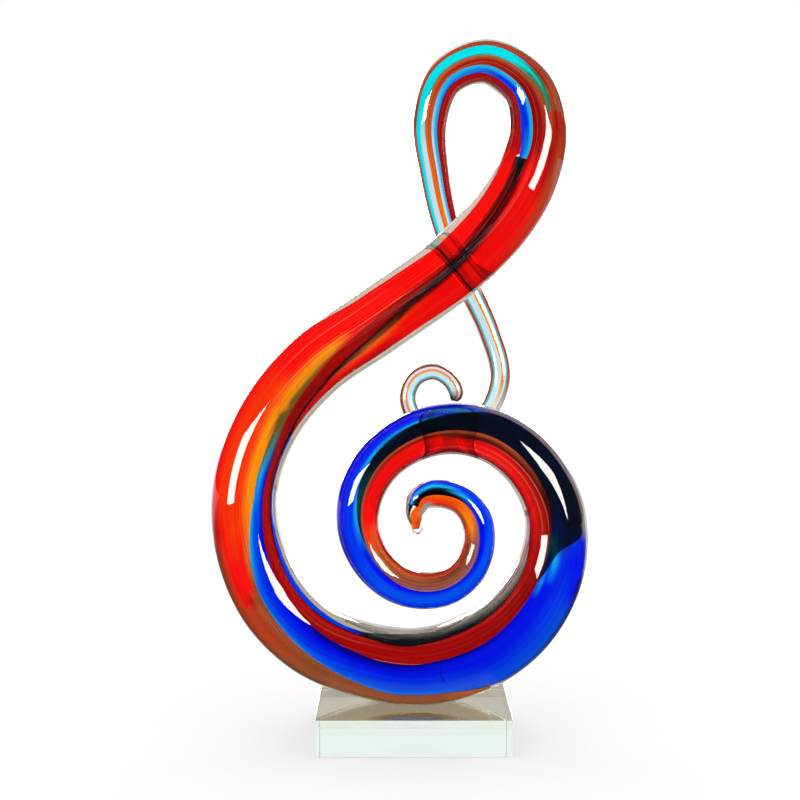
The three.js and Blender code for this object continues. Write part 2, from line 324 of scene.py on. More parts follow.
# across from the block's middle, up from the rod's lowest point before its foot was ground, back
# from the spiral's plane, and diameter, in mm
ROUTE = [
    # hooked tip
    (2.1, 72.4, 0, 4.4),
    (1.3, 76.8, 0, 5),
    (0.4, 80.8, 0, 7),
    (1.2, 84, 0, 9),
    (3.4, 88, 0, 11.2),
    (11, 89.4, 0, 11.6),
    (20.7, 86.3, 0, 12.2),
    # first turn of the spiral
    (26.6, 78, 0, 13),
    (27.3, 67.5, 0, 13.4),
    (23, 56.8, 0, 14.1),
    (14, 50, 0, 15),
    (2.5, 48.6, 0, 15.6),
    (-8.5, 52.4, 0, 16.4),
    (-18, 61.7, 0, 16.9),
    (-23, 74.5, 0, 17.6),
    # second turn
    (-21.6, 90, 0, 18.6),
    (-13, 104.3, 0, 19.7),
    (2, 114, 0, 20.8),
    (19, 116.6, 0, 21.4),
    (36, 112.2, 0, 22.8),
    (50.5, 99.7, 0, 23.9),
    (59.2, 80.5, 0, 25.4),
    (57.3, 57, 0, 28.2),
    (45, 36.3, 0, 31.6),
    # foot and left sweep
    (26.5, 22.6, 0, 33),
    (4, 16.2, 0, 32.4),
    (-19, 18.7, 0, 31.3),
    (-41.5, 27.2, 0, 30.3),
    (-58.6, 43.7, 0, 29.6),
    (-69, 68, 0, 28.2),
    (-70, 93, 0, 27),
    (-60.5, 119.6, 0, 27),
    # stem
    (-42, 142.5, 0, 27.8),
    (-14.7, 161.8, 0, 28.2),
    (14.9, 182.8, 0, 28),
    (35.7, 203.2, 0, 28),
    # top loop
    (46.5, 221, 0, 26.8),
    (51, 240.5, 0, 24),
    (46.2, 257.5, 0, 21.2),
    (30, 267.5, 0, 18),
    (13.5, 261.3, 1.5, 16),
    (7, 244.5, 4.5, 14.5),
    # tail behind the stem
    (9.1, 222, 11, 12.5),
    (14, 201, 17.5, 11.4),
    (22.2, 179.6, 20.3, 10.1),
    (32.5, 157, 20, 9.1),
    (37.3, 138.5, 18.5, 8.8),
    # curl behind the spiral
    (33, 124.5, 17.6, 8.2),
    (23, 116.3, 17, 7.7),
    (10.5, 114.8, 16.6, 7.3),
    (1.2, 119.5, 16.2, 7.1),
    (-2.3, 129.5, 16, 7),
    (1.2, 137, 16, 6.9),
    (8.6, 139.7, 16, 6.8),
    (14.8, 136.8, 16, 6.7),
    (18.1, 132, 15.8, 6.7),
    (17.9, 129.4, 15.5, 6.2),
    (16.2, 127.6, 15.2, 5),
]
FOOT_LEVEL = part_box("clear_casing")[0].z
FOOT_GRIND = 2 * MM
STATION_SPACING = 1.25
STEPS_PER_SPAN = 40
ROD_FLATS = 96
ROD_BODY = (0.78, 0.70, 0.45, 1)
ROD_BODY_DEPTH = 14.0
ROD_WAVES = 60
ROD_WAVE_HEIGHT = 0.000008
END_RING = 0.1
NO_GAP = 1e-9
SEED_COUNT = 40
SEED_RADIUS = (0.15, 0.3)
SEED_DEPTH = (0.74, 0.9)
SEED_TURN = 75
SEED_PATTERN = 5
SEEDLESS_END = 20


def through(points, shares, sharpness):
    """A smooth curve through the points, at shares of the way from each to the next."""
    before = 2 * points[:1] - points[1:2]
    after = 2 * points[-1:] - points[-2:-1]
    padded = np.vstack([before, points, after])
    t = shares[:, None]
    curve = []
    for p0, p1, p2, p3 in zip(padded, padded[1:], padded[2:], padded[3:]):
        gaps = [max(np.linalg.norm(b - a), NO_GAP) ** sharpness for a, b in ((p0, p1), (p1, p2), (p2, p3))]
        leaving = (p1 - p0) / gaps[0] - (p2 - p0) / (gaps[0] + gaps[1]) + (p2 - p1) / gaps[1]
        arriving = (p2 - p1) / gaps[1] - (p3 - p1) / (gaps[1] + gaps[2]) + (p3 - p2) / gaps[2]
        curve.append(
            p1 * (2 * t**3 - 3 * t**2 + 1) + leaving * gaps[1] * (t**3 - 2 * t**2 + t)
            + p2 * (3 * t**2 - 2 * t**3) + arriving * gaps[1] * (t**3 - t**2))
    return np.vstack(curve + [points[-1:]])


def rod_stations():
    """Distance, centre, radius, front and side of evenly spaced sections of the rod, in mm."""
    route = np.array(ROUTE)
    shares = np.arange(STEPS_PER_SPAN) / STEPS_PER_SPAN
    centres = through(route[:, [0, 2, 1]], shares, sharpness=0.5)
    centres[:, 2] += (FOOT_LEVEL - FOOT_GRIND) / MM
    radii = through(route[:, 3:4], shares, sharpness=0)[:, 0] / 2
    run = np.concatenate([[0], np.cumsum(np.linalg.norm(np.diff(centres, axis=0), axis=1))])
    distance = np.linspace(0, run[-1], int(run[-1] / STATION_SPACING) + 1)
    centre = np.stack([np.interp(distance, run, centres[:, k]) for k in range(3)], axis=1)
    radius = np.interp(distance, run, radii)
    into_end = np.clip(np.minimum(distance, run[-1] - distance) / radius, 0, 1)
    radius *= np.sqrt(np.clip(1 - (1 - into_end) ** 2, END_RING ** 2, 1))
    tangent = np.gradient(centre, axis=0)
    tangent /= np.linalg.norm(tangent, axis=1)[:, None]
    side = np.cross([0, 1, 0], tangent)
    side /= np.linalg.norm(side, axis=1)[:, None]
    front = np.cross(side, tangent)
    return distance, centre, radius, front, side


DISTANCE, CENTRE, RADIUS, FRONT, SIDE = rod_stations()


def around(stations, angles, shares):
    """Points of sections at angles in degrees and shares of the radius, in metres."""
    turn = np.radians(angles)[..., None]
    out = FRONT[stations][:, None] * np.cos(turn) + SIDE[stations][:, None] * np.sin(turn)
    return (CENTRE[stations][:, None] + out * (RADIUS[stations][:, None] * shares)[..., None]) * MM


def skins(name, tubes):
    """A mesh of closed skins, each over rings that have as many points as one another."""
    points = []
    faces = []
    start = 0
    for rings in tubes:
        ring_count, count = rings.shape[:2]
        first = start + np.arange(ring_count - 1)[:, None] * count
        here = np.arange(count)
        ahead = (here + 1) % count
        quads = np.stack([first + here, first + ahead, first + count + ahead, first + count + here], axis=2)
        faces += quads.reshape(-1, 4).tolist()
        last = start + (ring_count - 1) * count
        faces.append(list(range(start, start + count))[::-1])
        faces.append(list(range(last, last + count)))
        points.append(rings.reshape(-1, 3))
        start += ring_count * count
    mesh = bpy.data.meshes.new(name)
    mesh.from_pydata(np.vstack(points).tolist(), [], faces)
    mesh.polygons.foreach_set("use_smooth", [True] * len(faces))
    return mesh


def add_seeds(mesh):
    """Tiny air bubbles, trapped between the strips and the skin of the clear glass."""
    chance = np.random.default_rng(SEED_PATTERN)
    shape = bmesh.new()
    shape.from_mesh(mesh)
    for station in chance.integers(SEEDLESS_END, len(DISTANCE) - SEEDLESS_END, SEED_COUNT):
        angle = chance.uniform(-SEED_TURN, SEED_TURN)
        depth = chance.uniform(*SEED_DEPTH)
        size = chance.uniform(*SEED_RADIUS) * MM
        centre = around([station], np.array([[angle]]), np.array([[depth]]))[0, 0]
        place = Matrix.Translation(centre)
        ball = bmesh.ops.create_icosphere(shape, subdivisions=2, radius=size, matrix=place)
        seed_faces = list({face for vertex in ball["verts"] for face in vertex.link_faces})
        for face in seed_faces:
            face.smooth = True
        bmesh.ops.reverse_faces(shape, faces=seed_faces)
    shape.to_mesh(mesh)
    shape.free()


every_station = np.arange(len(DISTANCE))
flats = np.arange(ROD_FLATS) * 360 / ROD_FLATS
rod_skin = around(every_station, np.tile(flats, (len(DISTANCE), 1)), np.ones((len(DISTANCE), ROD_FLATS)))
rod_skin[..., 2] = np.maximum(rod_skin[..., 2], FOOT_LEVEL)
rod_mesh = skins("clear_rod", [rod_skin])
add_seeds(rod_mesh)
ROD_GLASS = clear_glass("clear_rod_glass", ROD_BODY, ROD_BODY_DEPTH, ROD_WAVES, ROD_WAVE_HEIGHT)
show("clear_rod", rod_mesh, ROD_GLASS, "clear_glass", "clear_casing", "clear_core")

# The inner red strip is transparent gold-ruby glass, a ribbon a millimetre or so thick. It runs on
# the hollow side of the spiral and up the stem, where it lies deeper, and thins to an amber line.
HAIR_STRETCH = (0.8, 3.0, 1)
GLASS_SHELL = 0.05
TAPERED_BELOW = 12
THINNEST_TAPER = 0.05
STRIP_FLATS = 28
WIDEST_SEEN = 0.995
BORDER_SOFTENING = [0.1, 0.2, 0.4, 0.2, 0.1]
LOOP_START = 657
TAIL_START = 677
STRIPS_END = 955.5
RUBY = (1.0, 0.003, 0.002)
SCARLET = (1.0, 0.035, 0.001)
CRIMSON = (0.42, 0.003, 0.002)
DEEP_RUBY = (0.26, 0.002, 0.002)
DARK_RUBY = (0.07, 0.001, 0.001)
SMOKED_RUBY = (0.12, 0.10, 0.05)
INK = (0.004, 0.006, 0.010)
ORANGE = (1.0, 0.13, 0.002)
AMBER = (1.0, 0.31, 0.001)
TIP_RIM_SHADE = (0.38, 0.33, 0.26)
UMBER = (0.19, 0.036, 0.012)
RUST = (0.50, 0.055, 0.012)
COPPER = (0.62, 0.14, 0.03)
BROWN = (0.30, 0.075, 0.025)
MAUVE = (0.25, 0.085, 0.10)
PEACH = (0.85, 0.30, 0.06)
STRAW = (1.0, 0.80, 0.50)
THIN_ROSE = (0.86, 0.62, 0.55)
BURNT_STREAKS = (0.62, 0.55, 0.55, 1)
PINK_THREADS = (1.0, 0.55, 0.42, 1)
STREAKS_ALONG = 0.008
STREAKS_FROM = 0.42
STREAKS_TO = 0.68
THREADS_FROM = 0.72
THREADS_TO = 0.8


def lens_turn(share, depth):
    """The angle round the rod that shows, through the clear glass, at a share of its half width."""
    widest = WIDEST_SEEN * GLASS_BENDS_LIGHT * depth
    share = np.clip(share, -widest, widest)
    bent = np.arcsin(share / GLASS_BENDS_LIGHT)
    return np.degrees(np.arcsin(share) - bent + np.arcsin(share / GLASS_BENDS_LIGHT / depth))


def viewer_turn():
    """How far round each section of the rod the viewer stands, in degrees."""
    towards = np.array(VIEWPOINT) / MM - CENTRE
    return np.degrees(np.arctan2((towards * SIDE).sum(axis=1), (towards * FRONT).sum(axis=1)))


VIEWER_TURN = viewer_turn()


def border(marks):
    """A strip's edge at all stations, from (mm along the rod, share of its half width)."""
    marks = np.array(marks)
    edge = np.interp(DISTANCE, marks[:, 0], marks[:, 1])
    padded = np.concatenate([edge[:2], edge, edge[-2:]])
    return np.convolve(padded, BORDER_SOFTENING, "valid")


def strip(first, last, depth, top, bottom, tones):
    """One strip: its closed shell and the colour, turn and distance of each point of it.

    It runs from first to last, in mm along the rod, at a depth that is a share of the radius, and
    shows between its top and bottom borders. Each row of tones is a distance and the colours there,
    by their share of the rod's half width.
    """
    reach = STATION_SPACING / 2
    stations = np.where((DISTANCE > first - reach) & (DISTANCE < last + reach))[0]
    at = DISTANCE[stations]
    across = (1 - np.cos(np.linspace(0, math.pi, STRIP_FLATS + 1))) / 2
    low = VIEWER_TURN + lens_turn(top, depth)
    high = VIEWER_TURN + lens_turn(bottom, depth)
    painted = []
    for distance, colours in tones:
        start = np.interp(distance, DISTANCE, low)
        width = max(np.interp(distance, DISTANCE, high) - start, 1)
        turns = np.interp(distance, DISTANCE, VIEWER_TURN) + lens_turn(np.array(list(colours.keys())), depth)
        shares = (turns - start) / width
        stops = np.array(list(colours.values()))
        painted.append([np.interp(across, shares, stops[:, k]) for k in range(3)])
    painted = np.array(painted)
    marks = [row[0] for row in tones]
    colour = np.ones((len(at), STRIP_FLATS + 1, 4))
    for k in range(3):
        for j in range(STRIP_FLATS + 1):
            colour[:, j, k] = np.interp(at, marks, painted[:, k, j])
    angles = low[stations][:, None] + (high - low)[stations][:, None] * across
    fullness = 1 - (2 * across[1:-1] - 1) ** 4
    outer = around(stations, angles, np.full(angles.shape, depth))
    taper = np.clip((high - low)[stations] / TAPERED_BELOW, THINNEST_TAPER, 1)[:, None]
    inner = around(stations, angles[:, 1:-1], depth - GLASS_SHELL * np.sqrt(fullness) * taper)
    rings = np.concatenate([outer, inner[:, ::-1]], axis=1)
    colour = np.concatenate([colour, colour[:, -2:0:-1]], axis=1)
    angles = np.concatenate([angles, angles[:, -2:0:-1]], axis=1)
    along = np.tile(at[:, None], (1, rings.shape[1]))
    return rings, colour, angles, along


def strips_mesh(name, *strips):
    mesh = skins(name, [parts[0] for parts in strips])
    colours = np.concatenate([parts[1].reshape(-1, 4) for parts in strips])
    mesh.attributes.new("glass_colour", "FLOAT_COLOR", "POINT").data.foreach_set("color", colours.ravel())
    for k, attribute in ((2, "turn"), (3, "along")):
        values = np.concatenate([parts[k].ravel() for parts in strips])
        mesh.attributes.new(attribute, "FLOAT", "POINT").data.foreach_set("value", values)
    return mesh


def drawn_streaks():
    """Node group: long streaks and hair-thin threads along a strip, drawn out with the colour."""
    group = bpy.data.node_groups.new("drawn_streaks", "ShaderNodeTree")
    for name in ("Along", "Across", "From", "To", "Thread From", "Thread To"):
        group.interface.new_socket(name, in_out="INPUT", socket_type="NodeSocketFloat")
    group.interface.new_socket("Streak", in_out="OUTPUT", socket_type="NodeSocketFloat")
    group.interface.new_socket("Thread", in_out="OUTPUT", socket_type="NodeSocketFloat")
    given = group.nodes.new("NodeGroupInput")
    result = group.nodes.new("NodeGroupOutput")
    along = group.nodes.new("ShaderNodeAttribute")
    along.attribute_name = "along"
    turn = group.nodes.new("ShaderNodeAttribute")
    turn.attribute_name = "turn"
    place = group.nodes.new("ShaderNodeCombineXYZ")
    drawn_out = reckon(group, "MULTIPLY", along.outputs["Fac"], given.outputs["Along"])
    drawn_across = reckon(group, "MULTIPLY", turn.outputs["Fac"], given.outputs["Across"])
    group.links.new(drawn_out, place.inputs["X"])
    group.links.new(drawn_across, place.inputs["Y"])
    noise = group.nodes.new("ShaderNodeTexNoise")
    noise.inputs["Scale"].default_value = 1.0
    noise.inputs["Detail"].default_value = 3.0
    group.links.new(place.outputs[0], noise.inputs["Vector"])
    streak = ease(group, noise.outputs["Fac"], given.outputs["From"], given.outputs["To"])
    group.links.new(streak, result.inputs["Streak"])
    stretch = group.nodes.new("ShaderNodeVectorMath")
    stretch.operation = "MULTIPLY"
    stretch.inputs[1].default_value = HAIR_STRETCH
    group.links.new(place.outputs[0], stretch.inputs[0])
    hairs = group.nodes.new("ShaderNodeTexNoise")
    hairs.noise_dimensions = "2D"
    hairs.inputs["Scale"].default_value = 1.0
    hairs.inputs["Detail"].default_value = 0.0
    group.links.new(stretch.outputs[0], hairs.inputs["Vector"])
    thread = ease(group, hairs.outputs["Fac"], given.outputs["Thread From"], given.outputs["Thread To"])
    group.links.new(thread, result.inputs["Thread"])
    return group


STREAKS = drawn_streaks()


def strip_glass(name, fineness, streak_colour, streak_strength, thread_colour, thread_strength):
    """Coloured glass that lies in the clear glass, so that light isn't bent at its surface."""
    material = bpy.data.materials.new(name)
    material.use_nodes = True
    tree = material.node_tree
    glass = tree.nodes["Principled BSDF"]
    glass.inputs["Roughness"].default_value = 0.0
    glass.inputs["IOR"].default_value = 1.0
    glass.inputs["Specular IOR Level"].default_value = 0.0
    glass.inputs["Transmission Weight"].default_value = 1.0
    colour = tree.nodes.new("ShaderNodeAttribute")
    colour.attribute_name = "glass_colour"
    streaks = tree.nodes.new("ShaderNodeGroup")
    streaks.node_tree = STREAKS
    streaks.inputs["Along"].default_value = STREAKS_ALONG
    streaks.inputs["Across"].default_value = fineness
    streaks.inputs["From"].default_value = STREAKS_FROM
    streaks.inputs["To"].default_value = STREAKS_TO
    streaks.inputs["Thread From"].default_value = THREADS_FROM
    streaks.inputs["Thread To"].default_value = THREADS_TO
    streaked = tint(tree, 1.0, colour.outputs["Color"], streak_colour, "MULTIPLY")
    streak_share = reckon(tree, "MULTIPLY", streaks.outputs["Streak"], streak_strength)
    body = tint(tree, streak_share, colour.outputs["Color"], streaked)
    thread_share = reckon(tree, "MULTIPLY", streaks.outputs["Thread"], thread_strength)
    tree.links.new(tint(tree, thread_share, body, thread_colour), glass.inputs["Base Color"])
    return material


SEAM = border([
    (12, 0.18), (20, 0.1), (30, 0.08), (50, 0), (60, -0.08), (70, -0.08), (80, -0.07), (90, -0.06),
    (100, 0), (110, 0.08), (118, 0.14), (130, 0.17), (140, 0.13), (160, 0.1), (190, 0.07), (210, 0.03),
    (230, 0.06), (250, 0.1), (262, 0.16), (270, 0.21), (280, 0.21), (290, 0.19), (300, 0.16), (310, 0.12),
    (320, 0.08), (345, 0.08), (355, 0.04), (362, 0.04), (370, 0.05), (380, 0.13), (390, 0.21), (400, 0.27),
    (410, 0.32), (430, 0.37), (440, 0.42), (450, 0.47), (460, 0.53), (475, 0.57), (490, 0.59), (500, 0.52),
    (510, 0.42), (522, 0.33), (530, 0.27), (540, 0.17), (550, 0.04), (560, -0.07), (570, -0.12), (580, -0.2),
    (600, -0.23), (612, -0.31), (620, -0.38), (630, -0.44), (640, -0.49), (650, -0.52), (658, -0.54),
])
TIP_SEAM = np.minimum(SEAM, border([
    (2, -0.95), (4, -0.9), (6, -0.75), (8, -0.6), (10, -0.3), (12, 0.05), (13.5, 0.1), (15, -0.2),
    (25, -0.25), (30, -0.1), (36, 0), (40, 1),
]))
RED_RIM = border([
    (2, 0.1), (3, 0.4), (5, 0.88), (9, 0.85), (12, 0.8), (18, 0.85), (25, 0.9), (60, 0.92), (130, 0.93),
    (200, 0.93), (230, 0.9), (250, 0.87), (262, 0.84), (270, 0.81), (280, 0.74), (290, 0.68), (300, 0.62),
    (312, 0.59), (335, 0.58), (345, 0.56), (355, 0.52), (362, 0.5), (370, 0.53), (376, 0.58), (390, 0.64),
    (400, 0.65), (420, 0.68), (430, 0.7), (440, 0.75), (450, 0.78), (465, 0.82), (490, 0.83), (500, 0.79),
    (510, 0.7), (520, 0.65), (530, 0.6), (540, 0.5), (550, 0.42), (560, 0.3), (570, 0.2), (580, 0.07),
    (590, 0.02), (600, -0.05), (610, -0.1), (620, -0.2), (630, -0.27), (640, -0.32), (650, -0.35),
    (658, -0.36),
])
WEDGE_TOP = border([
    (116, 0.17), (120, 0.14), (130, 0.05), (140, -0.08), (150, -0.23), (160, -0.32), (170, -0.39),
    (180, -0.45), (190, -0.53), (200, -0.66), (206, -0.78), (220, -0.8), (240, -0.82), (263, -0.9),
    (265.5, -0.7), (266.5, -0.45), (268, -0.2), (273, 0), (280, 0.12), (284, 0.2),
])
CENTRE_TOP = border([
    (283, 0.9), (300, 0.92), (330, 0.92), (345, 0.9), (360, 0.84), (370, 0.76), (378, 0.7), (383, 0.71),
    (400, 0.77), (420, 0.81), (440, 0.85), (460, 0.9), (490, 0.91), (498, 0.87), (505, 0.78), (512, 0.73),
    (520, 0.69), (530, 0.64), (540, 0.57), (550, 0.51), (560, 0.42), (570, 0.34), (580, 0.2), (590, 0.15),
    (600, 0.12), (610, 0.07), (620, -0.05), (630, -0.14), (640, -0.19), (650, -0.22), (655, -0.2),
    (660, -0.16), (690, -0.17), (700, -0.16), (710, -0.14), (720, -0.08), (740, -0.08), (755, -0.12),
    (770, -0.17), (790, -0.19), (826, -0.37), (840, -0.42), (860, -0.42), (900, -0.34), (950, -0.34),
])
STEM_RIM = border([(498, 0.84), (540, 0.86), (580, 0.86), (600, 0.9), (615, 0.94), (950, 0.94)])
CENTRE_BOTTOM = border([
    (677, 0.37), (690, 0.33), (700, 0.31), (720, 0.33), (735, 0.31), (750, 0.26), (770, 0.2), (790, 0.16),
    (826, -0.05), (840, -0.1), (860, -0.12), (900, -0.03), (950, -0.03),
])

red_spiral = strip(first=2, last=LOOP_START, depth=0.63, top=TIP_SEAM, bottom=RED_RIM, tones=[
    (3, {-0.9: AMBER, -0.7: AMBER, -0.6: ORANGE, 0.2: RUST}),
    (5, {-0.8: ORANGE, 0.5: RUST}),
    (8, {-0.8: RUST, -0.5: ORANGE, 0.2: ORANGE, 0.6: ORANGE}),
    # The grey-brown at the tip's clear rim is painted shade.
    (12, {-0.3: RUST, 0: ORANGE, 0.45: ORANGE, 0.55: TIP_RIM_SHADE}),
    (17, {-0.3: RUST, 0: ORANGE, 0.45: SCARLET, 0.6: TIP_RIM_SHADE}),
    (22, {-0.2: RUST, 0: RUST, 0.15: ORANGE, 0.55: SCARLET, 0.65: RUBY, 0.8: RUST}),
    (32, {0: COPPER, 0.1: ORANGE, 0.6: SCARLET, 0.8: RUST}),
    (40, {0: RUST, 0.1: ORANGE, 0.6: AMBER, 0.75: RUST}),
    (47, {0: MAUVE, 0.25: COPPER, 0.4: AMBER, 0.65: ORANGE, 0.8: RUST}),
    (55, {0: MAUVE, 0.3: MAUVE, 0.45: BROWN, 0.7: UMBER, 0.8: CRIMSON, 0.9: RUST}),
    (75, {0: MAUVE, 0.3: BROWN, 0.45: UMBER, 0.6: UMBER, 0.7: RUST, 0.8: CRIMSON, 0.9: RUST}),
    (100, {0.05: MAUVE, 0.35: BROWN, 0.5: BROWN, 0.65: COPPER, 0.8: CRIMSON, 0.9: RUST}),
    (115, {0.15: BROWN, 0.4: COPPER, 0.6: RUST, 0.75: COPPER, 0.85: CRIMSON}),
    (126, {0.15: BROWN, 0.3: SCARLET, 0.5: SCARLET, 0.75: COPPER, 0.85: RUBY}),
    (133, {0.1: BROWN, 0.2: RUST, 0.27: RUBY, 0.8: RUBY, 0.9: CRIMSON}),
    (150, {0.04: RUST, 0.18: BROWN, 0.25: CRIMSON, 0.32: RUBY, 0.75: RUBY, 0.88: CRIMSON}),
    (185, {0: COPPER, 0.15: RUST, 0.22: DARK_RUBY, 0.3: RUBY, 0.75: RUBY, 0.9: CRIMSON}),
    (200, {0.05: RUST, 0.15: BROWN, 0.22: DARK_RUBY, 0.33: DARK_RUBY, 0.45: RUBY, 0.75: RUBY, 0.9: CRIMSON}),
    (220, {0.05: RUST, 0.15: BROWN, 0.24: DARK_RUBY, 0.33: CRIMSON, 0.45: RUBY, 0.75: RUBY, 0.88: CRIMSON}),
    (245, {0.12: DARK_RUBY, 0.22: DARK_RUBY, 0.33: CRIMSON, 0.5: CRIMSON, 0.7: RUBY, 0.85: CRIMSON}),
    (268, {0.25: DARK_RUBY, 0.32: CRIMSON, 0.6: CRIMSON, 0.8: CRIMSON}),
    (290, {0.25: DEEP_RUBY, 0.4: DEEP_RUBY, 0.65: CRIMSON}),
    (350, {0.1: CRIMSON, 0.3: CRIMSON, 0.5: CRIMSON}),
    (430, {0.4: DEEP_RUBY, 0.55: CRIMSON, 0.7: CRIMSON}),
    (495, {0.5: DEEP_RUBY, 0.6: CRIMSON, 0.75: DEEP_RUBY}),
    (520, {0.3: CRIMSON, 0.5: DEEP_RUBY, 0.65: DEEP_RUBY}),
    (545, {0.1: CRIMSON, 0.4: CRIMSON, 0.44: DARK_RUBY}),
    (575, {-0.15: CRIMSON, 0.05: DEEP_RUBY, 0.12: DARK_RUBY}),
    (590, {-0.2: CRIMSON, -0.05: DEEP_RUBY, 0.02: INK}),
    (600, {-0.2: CRIMSON, -0.13: DEEP_RUBY, -0.1: INK, -0.06: DEEP_RUBY}),
    (612, {-0.3: CRIMSON, -0.22: DEEP_RUBY, -0.19: INK, -0.15: DARK_RUBY, -0.11: CRIMSON}),
    (630, {-0.43: CRIMSON, -0.39: DEEP_RUBY, -0.37: INK, -0.34: DARK_RUBY, -0.29: CRIMSON}),
    (648, {-0.5: CRIMSON, -0.47: DARK_RUBY, -0.44: INK, -0.41: DARK_RUBY, -0.37: DEEP_RUBY}),
    (653, {-0.5: DEEP_RUBY, -0.46: INK, -0.35: INK}),
    (657, {-0.5: INK}),
])
red_under = strip(first=116, last=284, depth=0.57, top=WEDGE_TOP, bottom=SEAM, tones=[
    (116, {0: DEEP_RUBY}),
    (140, {0: SMOKED_RUBY}),
    (284, {0: SMOKED_RUBY}),
])
red_stem = strip(first=499, last=TAIL_START, depth=0.63, top=CENTRE_TOP, bottom=STEM_RIM, tones=[
    (499, {0.8: CRIMSON}),
    (530, {0.66: DEEP_RUBY, 0.72: RUBY, 0.85: CRIMSON}),
    (545, {0.55: BROWN, 0.65: SCARLET, 0.75: RUBY, 0.85: CRIMSON}),
    (560, {0.42: BROWN, 0.48: ORANGE, 0.55: ORANGE, 0.62: RUBY, 0.86: CRIMSON}),
    (572, {0.3: DARK_RUBY, 0.4: SCARLET, 0.5: RUBY, 0.9: RUBY}),
    (590, {0.16: DARK_RUBY, 0.28: RUBY, 0.8: RUBY, 0.9: RUBY}),
    (615, {0.03: DARK_RUBY, 0.15: RUBY, 0.8: RUBY, 0.92: RUBY}),
    (640, {-0.17: DARK_RUBY, -0.05: RUBY, 0.6: RUBY, 0.8: RUST, 0.93: RUBY}),
    (653, {-0.2: DARK_RUBY, -0.1: RUBY, 0.3: RUBY, 0.6: CRIMSON, 0.7: RUST, 0.93: RUST}),
    (662, {-0.15: CRIMSON, 0.6: CRIMSON, 0.75: RUST, 0.93: RUST}),
    (671, {-0.15: DEEP_RUBY, 0.2: CRIMSON, 0.45: RUST, 0.6: CRIMSON, 0.75: CRIMSON, 0.93: RUST}),
    (678, {-0.15: DEEP_RUBY, 0.2: CRIMSON, 0.42: BROWN, 0.55: RUST, 0.65: CRIMSON, 0.93: RUST}),
])
red_centre = strip(
    first=TAIL_START, last=STRIPS_END, depth=0.63, top=CENTRE_TOP, bottom=CENTRE_BOTTOM, tones=[
    (676, {-0.15: DEEP_RUBY, 0.2: CRIMSON, 0.37: RUST}),
    (690, {-0.15: DEEP_RUBY, 0.1: CRIMSON, 0.2: BROWN, 0.33: BROWN}),
    (720, {-0.05: RUST, 0.1: CRIMSON, 0.2: RUST, 0.33: COPPER}),
    (745, {-0.05: COPPER, 0.1: RUST, 0.2: ORANGE, 0.28: COPPER}),
    (770, {-0.1: COPPER, 0.05: ORANGE, 0.15: ORANGE, 0.25: AMBER}),
    (790, {-0.12: AMBER, 0.05: ORANGE, 0.2: AMBER}),
    (796, {-0.2: AMBER}),
    (802, {-0.2: STRAW}),
    (818, {-0.2: STRAW}),
    (826, {-0.25: AMBER}),
    (862, {-0.25: AMBER}),
    (872, {-0.25: STRAW}),
    (898, {-0.25: STRAW}),
    (908, {-0.25: PEACH}),
    (951, {-0.25: PEACH}),
    (954, {-0.25: INK}),
])
FLECK_RIM = -0.97
FLECK_BOTTOM = border([(12, -0.86), (14, -0.72), (16, -0.68), (18, -0.76), (20, -0.92)])
rose_fleck = strip(first=13, last=19, depth=0.66, top=FLECK_RIM, bottom=FLECK_BOTTOM, tones=[
    (13, {-0.9: RUST}),
    (16, {-0.95: RUST, -0.88: THIN_ROSE, -0.78: THIN_ROSE, -0.7: RUST}),
    (19, {-0.9: COPPER}),
])
RUBY_GLASS = strip_glass(
    "ruby_glass", fineness=0.22, streak_colour=BURNT_STREAKS, streak_strength=0.25,
    thread_colour=PINK_THREADS, thread_strength=0.4)
red_inner = strips_mesh("red_inner_strip", red_spiral, rose_fleck, red_under, red_stem, red_centre)
show("red_inner_strip", red_inner, RUBY_GLASS, "red_glass", "red_inner_band")

# The outer red strip is the same glass. It starts brown under the foot, turns orange and amber
# where it is thin on the left sweep, and is full red up the stem and round the inside of the loop.
# Beside it on the stem, a rosy grey is painted into the clear rim as painted shade.
OLIVE = (0.16, 0.11, 0.02)
ROSE = (0.45, 0.10, 0.10)
OUTER_SEAM = np.minimum(SEAM, border([
    (318, -0.98), (325, -0.95), (333, -0.86), (341, -0.75), (352, -0.72), (362, -0.74), (370, -0.69),
    (380, -0.6), (390, -0.48), (400, -0.38), (412, -0.3), (430, -0.21), (440, -0.11), (450, 0.03),
    (460, 0.17), (470, 0.28), (490, 0.31), (500, 0.29), (510, 0.28), (515, 0.9),
]))
LOOP_TOP = border([
    (657, -0.42), (662, -0.48), (670, -0.57), (680, -0.57), (690, -0.54), (700, -0.53), (710, -0.5),
    (720, -0.43), (735, -0.4), (750, -0.42), (770, -0.47), (790, -0.5), (826, -0.7), (860, -0.72),
    (900, -0.62), (950, -0.62),
])
OUTER_RIM = border([
    (318, -0.975), (470, -0.97), (495, -0.95), (540, -0.94), (550, -0.88), (560, -0.83),
    (590, -0.8), (603, -0.75), (612, -0.78), (630, -0.82), (650, -0.88), (665, -0.94), (690, -0.94),
    (720, -0.9), (750, -0.9), (790, -0.9), (826, -0.94), (950, -0.94),
])
OUTER_BOTTOM = np.where(DISTANCE < LOOP_START, OUTER_SEAM, LOOP_TOP)

RIM_SHADE_ROSY = (0.72, 0.60, 0.58)
OUTER_EDGE = -0.96
